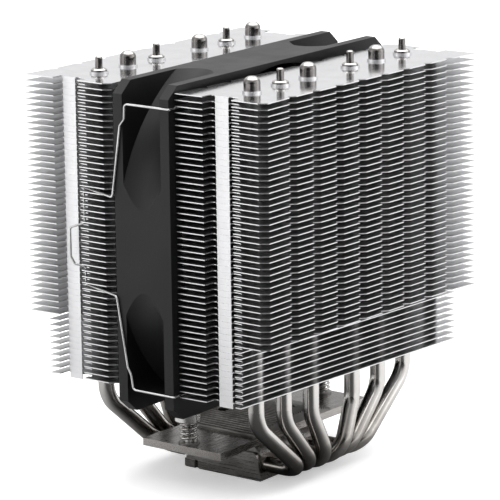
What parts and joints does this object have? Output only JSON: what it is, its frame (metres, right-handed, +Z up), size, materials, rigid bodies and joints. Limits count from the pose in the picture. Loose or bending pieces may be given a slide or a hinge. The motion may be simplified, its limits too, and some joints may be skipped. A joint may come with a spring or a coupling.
{
  "type": "cpu tower cooler",
  "caption": "Twin-tower processor cooler: two stacks of thin metal fins on bent heat pipes, a fan clipped between them, and a spring-screw base.",
  "frame": {"origin": "centre of the flat contact face that sits on the processor, which is the lowest point", "axes": "+Z up, away from the processor; +X the way the air leaves the fan, across the two towers; +Y along the fins, from the near clip to the far clip"},
  "size_m": [0.1128, 0.1326, 0.1577],
  "materials": {
    "nickel_copper": "satin nickel plating on copper",
    "cover_aluminium": "satin, machined ribs",
    "nickel_steel": "satin nickel plating on steel",
    "zinc_screw": "plated",
    "nickel_pipe": "bright nickel plating on copper",
    "fin_top": "bright, mirror-like",
    "fin_aluminium": "bright rolled sheet",
    "fan_black": "fine satin texture",
    "rotor_black": "satin",
    "sintered_brass": "sintered",
    "stator_steel": "laminated",
    "copper_winding": "varnished copper wire",
    "circuit_board": "solder mask",
    "plain_disc": "plain cover disc",
    "spring_wire": "bright spring wire",
    "coil_spring": "bright spring wire",
    "magnet": "bonded ferrite",
    "shaft_steel": "ground",
    "screw_nickel": "bright plated head"
  },
  "bodies": {
    "heatsink": {"contact_plate": "nickel_copper", "base_block": "nickel_copper", "ribbed_cover": "cover_aluminium", "mounting_bracket": "nickel_steel", "cover_screws": "zinc_screw", "heat_pipe_1": "nickel_pipe", "heat_pipe_2": "nickel_pipe", "heat_pipe_3": "nickel_pipe", "heat_pipe_4": "nickel_pipe", "heat_pipe_5": "nickel_pipe", "heat_pipe_6": "nickel_pipe", "left_top_fin": "fin_top", "left_wide_fins": "fin_aluminium", "left_narrow_fins": "fin_aluminium", "right_top_fin": "fin_top", "right_wide_fins": "fin_aluminium", "right_narrow_fins": "fin_aluminium", "fan_frame": "fan_black", "motor_mount": "fan_black", "bearing_sleeve": "sintered_brass", "stator_core": "stator_steel", "stator_coils": "copper_winding", "fan_circuit_board": "circuit_board", "motor_plate_disc": "plain_disc", "fan_hooks_near": "spring_wire", "spring_washer_near": "zinc_screw", "screw_spring_near": "coil_spring", "fan_hooks_far": "spring_wire", "spring_washer_far": "zinc_screw", "screw_spring_far": "coil_spring"},
    "rotor": {"fan_rotor": "rotor_black", "rotor_yoke": "stator_steel", "rotor_magnet": "magnet", "rotor_shaft": "shaft_steel", "shaft_retainer": "shaft_steel"},
    "clip_near": {"fan_clip_near": "spring_wire"},
    "screw_near_slide": {"retaining_ring_near": "shaft_steel"},
    "screw_near": {"spring_screw_near": "screw_nickel"},
    "clip_far": {"fan_clip_far": "spring_wire"},
    "screw_far_slide": {"retaining_ring_far": "shaft_steel"},
    "screw_far": {"spring_screw_far": "screw_nickel"}
  },
  "joints": [
    {"name": "rotor_spin", "type": "hinge", "parent": "heatsink", "child": "rotor", "pos_m": [0, 0, 0.0931], "axis": [1, 0, 0], "continuous": true},
    {"name": "clip_near_swing", "type": "hinge", "parent": "heatsink", "child": "clip_near", "pos_m": [0.01302, -0.06592, 0.0931], "axis": [0, 0, 1], "range_deg": [0, 40], "stiffness_Nm_per_rad": 0.01, "springref_deg": -2.86},
    {"name": "screw_near_press", "type": "slide", "parent": "heatsink", "child": "screw_near_slide", "axis": [0, 0, -1], "range_m": [0, 0.0028], "stiffness_N_per_m": 2500, "springref_m": -0.003, "deforming": ["screw_spring_near"]},
    {"name": "screw_near_turn", "type": "hinge", "parent": "screw_near_slide", "child": "screw_near", "pos_m": [0, -0.0412, 0.024], "axis": [0, 0, 1], "continuous": true},
    {"name": "clip_far_swing", "type": "hinge", "parent": "heatsink", "child": "clip_far", "pos_m": [-0.01302, 0.06592, 0.0931], "axis": [0, 0, 1], "range_deg": [0, 40], "stiffness_Nm_per_rad": 0.01, "springref_deg": -2.86},
    {"name": "screw_far_press", "type": "slide", "parent": "heatsink", "child": "screw_far_slide", "axis": [0, 0, -1], "range_m": [0, 0.0028], "stiffness_N_per_m": 2500, "springref_m": -0.003, "deforming": ["screw_spring_far"]},
    {"name": "screw_far_turn", "type": "hinge", "parent": "screw_far_slide", "child": "screw_far", "pos_m": [0, 0.0412, 0.024], "axis": [0, 0, 1], "continuous": true}
  ]
}
